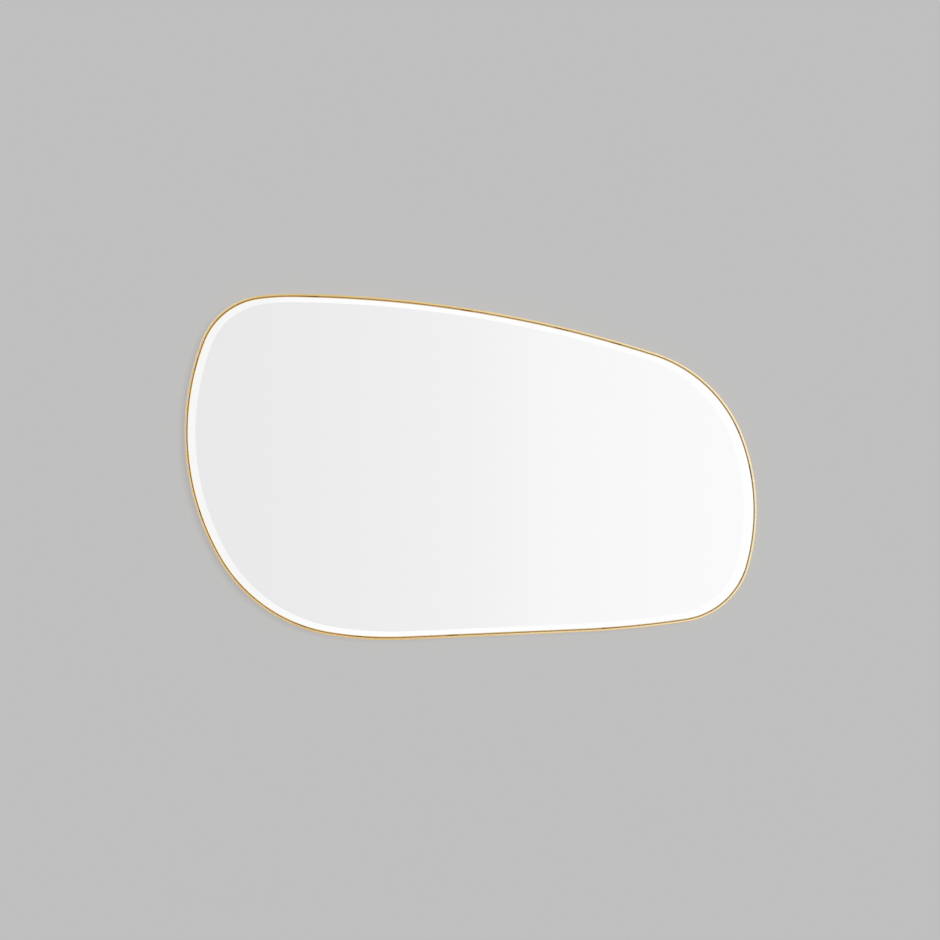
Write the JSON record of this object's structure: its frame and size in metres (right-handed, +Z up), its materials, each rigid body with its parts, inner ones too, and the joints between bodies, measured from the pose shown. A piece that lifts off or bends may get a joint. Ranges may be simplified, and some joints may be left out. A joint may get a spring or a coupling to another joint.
{
  "type": "irregular wall mirror",
  "caption": "Lopsided wall mirror: bevelled glass in a thin gold-toned bent metal rim, with a board behind and pivoting ring hangers.",
  "frame": {"origin": "in the plane of the wall, midway between the two points where the hanger rings bear on their wall hooks", "axes": "+X to the right as one faces the mirror, +Y into the wall, +Z up"},
  "size_m": [1.0008, 0.025, 0.6057],
  "materials": {
    "gold_metal": "gold-toned coat on steel, finely brushed",
    "clear_glass": "clear float glass, ground and polished bevel",
    "silver": "silver coat with its backing paint",
    "grey_film": "grey safety film",
    "foam_tape": "black foam tape",
    "fibreboard": "bare medium-density fibreboard",
    "zinc_steel": "bright zinc plate",
    "dark_pad": "dark brown foam rubber",
    "black_rubber": "moulded rubber"
  },
  "bodies": {
    "mirror": {"frame_rim": "gold_metal", "seam_splice": "gold_metal", "mirror_glass": "clear_glass", "silver_layer": "silver", "safety_film": "grey_film", "mounting_tape": "foam_tape", "backing_board": "fibreboard", "clip_screws": "zinc_steel", "hanger_screws": "zinc_steel", "edge_pad_bottom_right": "dark_pad", "edge_pad_right": "dark_pad", "edge_pad_top_right": "dark_pad", "edge_pad_top_left": "dark_pad", "edge_pad_left": "dark_pad", "edge_pad_bottom_left": "dark_pad", "board_clip_01": "gold_metal", "board_clip_02": "gold_metal", "board_clip_03": "gold_metal", "board_clip_04": "gold_metal", "board_clip_05": "gold_metal", "board_clip_06": "gold_metal", "board_clip_07": "gold_metal", "board_clip_08": "gold_metal", "board_clip_09": "gold_metal", "board_clip_10": "gold_metal", "hanger_strap_left": "zinc_steel", "hanger_strap_right": "zinc_steel", "wall_bumper_top_right": "black_rubber", "wall_bumper_top_left": "black_rubber", "wall_bumper_bottom_left": "black_rubber", "wall_bumper_bottom_right": "black_rubber"},
    "ring_left": {"hanger_ring_left": "zinc_steel"},
    "ring_right": {"hanger_ring_right": "zinc_steel"}
  },
  "joints": [
    {"name": "ring_left_swing", "type": "hinge", "parent": "mirror", "child": "ring_left", "pos_m": [-0.25, -0.0042, -0.0185], "axis": [-1, 0, 0], "range_deg": [0, 178]},
    {"name": "ring_right_swing", "type": "hinge", "parent": "mirror", "child": "ring_right", "pos_m": [0.25, -0.0042, -0.0185], "axis": [-1, 0, 0], "range_deg": [0, 178]}
  ]
}
